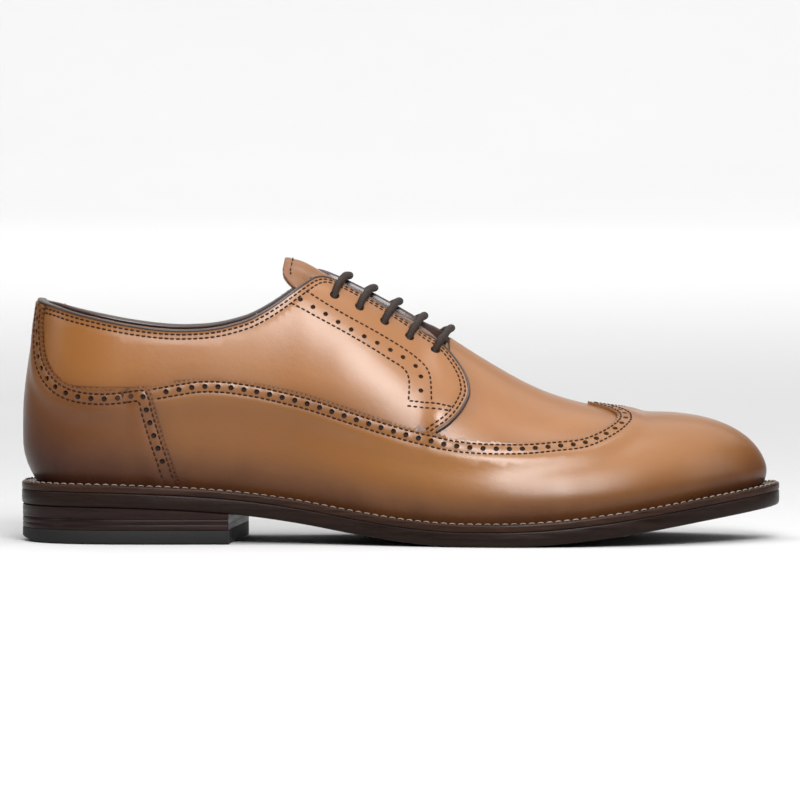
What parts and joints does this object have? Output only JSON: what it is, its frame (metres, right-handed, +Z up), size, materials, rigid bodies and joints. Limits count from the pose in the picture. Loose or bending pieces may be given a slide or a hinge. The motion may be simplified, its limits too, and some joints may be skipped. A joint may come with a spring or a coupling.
{
  "type": "leather derby shoe",
  "caption": "Right-foot brown leather wingtip derby shoe with open lacing, a welted leather sole and a low stacked heel.",
  "frame": {"origin": "under the middle of the shoe's bounding box, on the floor it stands on", "axes": "+X from heel to toe, +Y to the medial (inner) side of this right shoe, +Z up"},
  "size_m": [0.3032, 0.1056, 0.1133],
  "materials": {
    "upper_leather": "burnished and polished tan calf",
    "wing_leather": "burnished calf, darker at the toe and the edges",
    "counter_leather": "burnished calf, dark at the heel",
    "tongue_leather": "satin calf",
    "binding_leather": "dark folded edge binding",
    "lining_leather": "matte natural lining leather",
    "sock_leather": "smooth sock leather",
    "insole_leather": "matte vegetable-tanned leather",
    "insole_rib_canvas": "canvas gemming",
    "cork": "ground cork filler",
    "shank_steel": "spring steel strip",
    "sole_leather": "dark stained and waxed edge, smooth bottom",
    "welt_leather": "dark stained, waxed",
    "welt_thread": "waxed thread",
    "heel_leather": "stacked leather, dark waxed edge",
    "heel_rubber": "matte black rubber",
    "nail_steel": "bright steel",
    "interlining_fabric": "woven cotton",
    "stay_fabric": "stiff canvas",
    "stiffener_board": "moulded leather board",
    "eyelet_brass": "aged brass",
    "lace_cotton": "waxed round braid",
    "aglet_plastic": "clear-coated tip"
  },
  "bodies": {
    "shoe": {"outsole": "sole_leather", "welt": "welt_leather", "welt_stitching": "welt_thread", "insole": "insole_leather", "insole_rib": "insole_rib_canvas", "cork_filler": "cork", "shank": "shank_steel", "sock_lining": "sock_leather", "heel_lift_upper": "heel_leather", "heel_lift_lower": "heel_leather", "heel_top_piece": "heel_rubber", "heel_nails": "nail_steel", "vamp": "upper_leather", "wing_cap": "wing_leather", "quarter_lateral": "upper_leather", "quarter_medial": "upper_leather", "counter_cover": "counter_leather", "topline_binding": "binding_leather", "vamp_lining": "lining_leather", "quarter_lining_lateral": "lining_leather", "quarter_lining_medial": "lining_leather", "vamp_interlining": "interlining_fabric", "interlining_lateral": "interlining_fabric", "interlining_medial": "interlining_fabric", "facing_stay_lateral": "stay_fabric", "facing_stay_medial": "stay_fabric", "toe_puff": "stiffener_board", "heel_stiffener": "stiffener_board", "eyelets_lateral": "eyelet_brass", "eyelets_medial": "eyelet_brass", "lace": "lace_cotton", "aglets": "aglet_plastic"},
    "tongue": {"tongue": "tongue_leather", "tongue_lining": "lining_leather"}
  },
  "joints": [
    {"name": "tongue_hinge", "type": "hinge", "parent": "shoe", "child": "tongue", "pos_m": [0.0172, 0.00076, 0.0735], "axis": [0, 1, 0], "range_deg": [-5, 0]}
  ]
}
